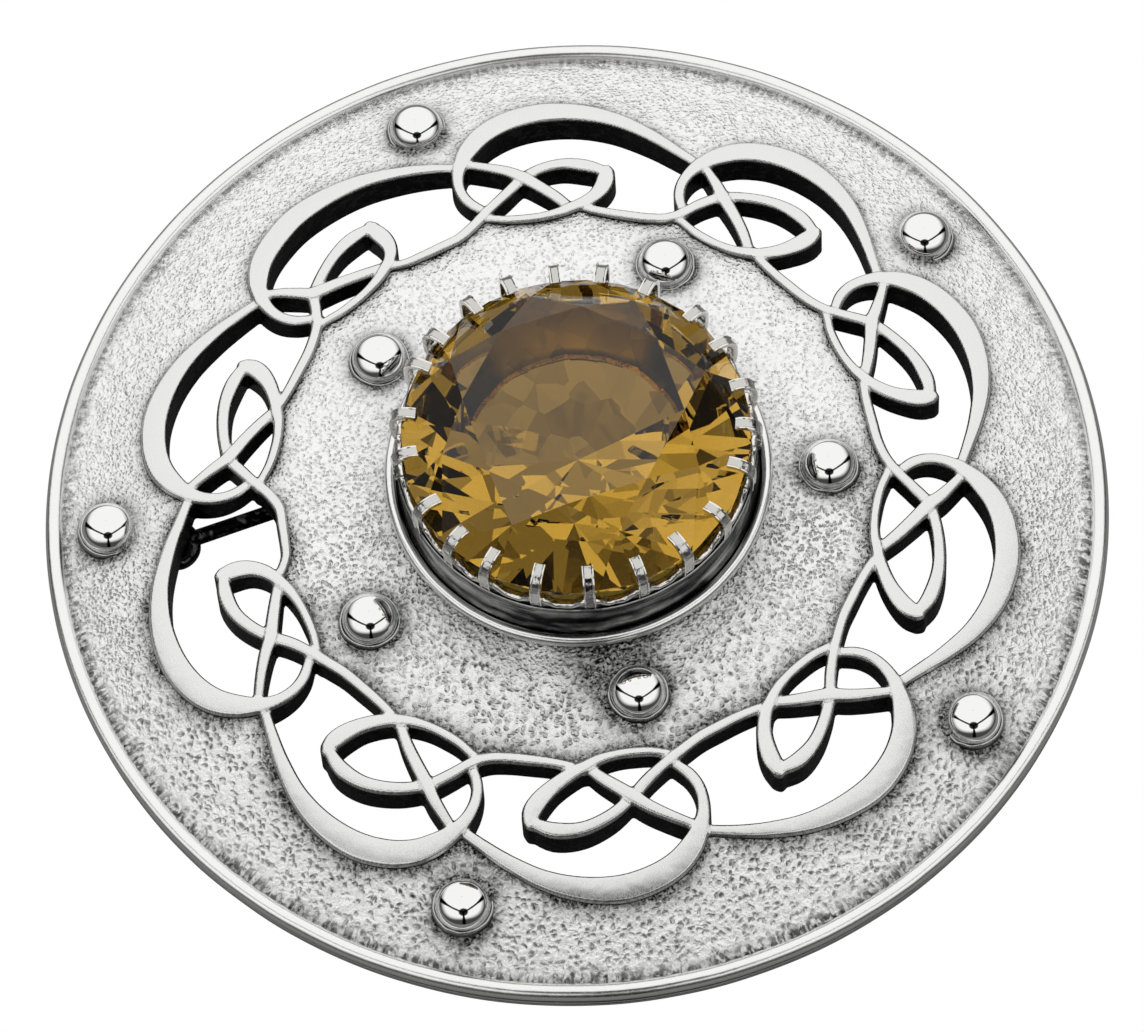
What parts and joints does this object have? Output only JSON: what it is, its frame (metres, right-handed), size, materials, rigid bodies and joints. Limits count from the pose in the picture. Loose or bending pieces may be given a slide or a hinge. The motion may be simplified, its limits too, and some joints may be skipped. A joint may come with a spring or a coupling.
{
  "type": "plaid brooch",
  "caption": "Round domed silver brooch pierced with a ring of interlaced knotwork, with domed studs and a large faceted stone in claws over the middle, and a pin behind it.",
  "frame": {"origin": "middle of the flat ring on the back of the rim that the brooch rests on", "axes": "+Z out of the front of the brooch, -Y towards the viewer of the picture, +X to the picture's right"},
  "size_m": [0.085, 0.085, 0.0195],
  "materials": {
    "hammered_silver": "cast sterling silver, stippled and oxidised field, polished strands, studs and rim",
    "setting_silver": "polished sterling silver with dark oxide in its cove",
    "citrine": "smoky golden brown quartz, faceted and polished",
    "pin_silver": "plain silver, darkened"
  },
  "bodies": {
    "root": {"plaque": "hammered_silver", "claw_setting": "setting_silver", "citrine": "citrine", "brooch_pin": "pin_silver"}
  },
  "joints": []
}
